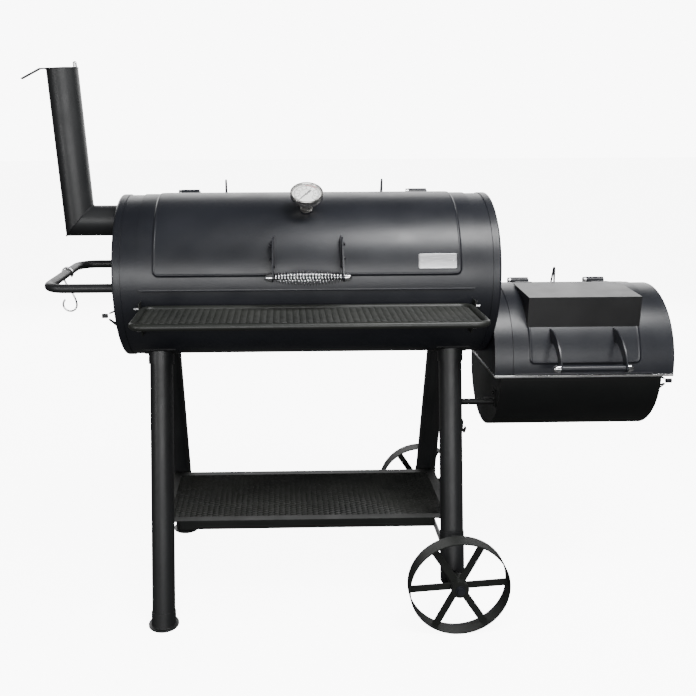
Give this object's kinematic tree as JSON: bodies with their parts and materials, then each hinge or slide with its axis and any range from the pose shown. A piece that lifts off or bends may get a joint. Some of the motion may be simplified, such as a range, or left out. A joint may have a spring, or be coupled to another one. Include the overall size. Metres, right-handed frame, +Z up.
{
  "type": "offset smoker",
  "caption": "Free-standing steel offset smoker: barrel chamber with hinged lid, side firebox, leaning chimney, front and bottom mesh shelves, splayed legs and two wheels.",
  "frame": {"origin": "On the ground under the middle of the whole smoker: centre of the bounding box in X and Y, resting surface at z = 0.", "axes": "+Z up; +X along the barrel from the chimney end to the firebox end; the front with the lid handles and the front shelf looks along -Y."},
  "size_m": [1.6468, 0.7464, 1.3939],
  "materials": {
    "black_steel": "satin",
    "badge": "satin",
    "bare_steel": "satin",
    "stainless": "gloss",
    "chrome": "gloss",
    "zinc": "satin",
    "dial_white": "matte",
    "needle_black": "matte",
    "lens": "gloss",
    "grate_iron": "matte"
  },
  "bodies": {
    "frame": {"axle": "black_steel", "axle_sockets": "black_steel", "barrel_cap_left": "black_steel", "barrel_cap_right": "black_steel", "barrel_lower_shell": "black_steel", "barrel_upper_shell": "black_steel", "bottom_shelf_bars": "black_steel", "bottom_shelf_brackets": "black_steel", "bottom_shelf_frame": "black_steel", "bottom_shelf_mesh": "black_steel", "charcoal_grate": "grate_iron", "chimney_cap_bolt": "zinc", "chimney_elbow": "black_steel", "chimney_pipe": "black_steel", "cooking_grates": "grate_iron", "firebox_bowl": "black_steel", "firebox_grate": "grate_iron", "firebox_housing": "black_steel", "firebox_ledge": "bare_steel", "firebox_strut": "black_steel", "fixed_hinge_leaves": "black_steel", "front_shelf_bolts": "zinc", "front_shelf_brackets": "black_steel", "front_shelf_frame": "black_steel", "front_shelf_mesh": "black_steel", "grate_rests": "black_steel", "hinge_pins": "zinc", "leg_feet": "black_steel", "leg_front_left": "black_steel", "leg_front_right": "black_steel", "leg_hook": "black_steel", "leg_rear_left": "black_steel", "leg_rear_right": "black_steel", "leg_saddles": "black_steel", "lid_stops": "black_steel", "push_handle": "black_steel"},
    "barrel_lid": {"lid_shell": "black_steel", "lid_hinge_leaves": "black_steel", "lid_handle_brackets": "black_steel", "lid_handle_arms": "black_steel", "lid_handle_rod": "black_steel", "lid_handle_nuts": "chrome", "lid_handle_coil": "chrome", "thermometer_case": "stainless", "thermometer_dial": "dial_white", "thermometer_lens": "lens", "badge_plate": "badge"},
    "firebox_lid": {"firebox_lid": "black_steel", "firebox_lid_leaves": "black_steel", "firebox_hood": "black_steel", "firebox_handle_arms": "black_steel", "firebox_handle_grip": "black_steel", "firebox_handle_nuts": "chrome"},
    "chimney_cap": {"chimney_cap": "black_steel"},
    "vent_left": {"vent_left": "black_steel"},
    "vent_right": {"vent_right": "black_steel"},
    "s_hook": {"s_hook": "chrome"},
    "needle": {"thermometer_needle": "needle_black"},
    "wheel_front": {"wheel_front": "black_steel"},
    "wheel_rear": {"wheel_rear": "black_steel"}
  },
  "joints": [
    {"name": "barrel_lid_hinge", "type": "hinge", "parent": "frame", "child": "barrel_lid", "pos_m": [-0.13157, 0.0948, 1.07142], "axis": [-1, 0, 0], "range_deg": [0, 123]},
    {"name": "firebox_lid_hinge", "type": "hinge", "parent": "frame", "child": "firebox_lid", "pos_m": [0.55443, 0.0948, 0.83184], "axis": [-1, 0, 0], "range_deg": [0, 122.5]},
    {"name": "chimney_cap_swing", "type": "hinge", "parent": "frame", "child": "chimney_cap", "pos_m": [-0.69125, 0.0348, 1.37655], "axis": [-0.0436, 0, 0.999], "continuous": true},
    {"name": "vent_left_turn", "type": "hinge", "parent": "frame", "child": "vent_left", "pos_m": [-0.59517, -0.0302, 0.772], "axis": [-1, 0, 0], "range_deg": [-60, 60]},
    {"name": "vent_right_turn", "type": "hinge", "parent": "frame", "child": "vent_right", "pos_m": [0.76543, -0.0632, 0.592], "axis": [1, 0, 0], "range_deg": [-60, 60]},
    {"name": "s_hook_swing", "type": "hinge", "parent": "frame", "child": "s_hook", "pos_m": [-0.76057, 0.0748, 0.866], "axis": [0, 1, 0], "range_deg": [-60, 60]},
    {"name": "needle_turn", "type": "hinge", "parent": "barrel_lid", "child": "needle", "pos_m": [-0.13157, -0.10643, 1.08347], "axis": [0, 0.5446, -0.8387], "range_deg": [0, 280]},
    {"name": "wheel_front_spin", "type": "hinge", "parent": "frame", "child": "wheel_front", "pos_m": [0.24243, -0.2692, 0.126], "axis": [0, 1, 0], "continuous": true},
    {"name": "wheel_rear_spin", "type": "hinge", "parent": "frame", "child": "wheel_rear", "pos_m": [0.24243, 0.3388, 0.126], "axis": [0, 1, 0], "continuous": true}
  ]
}
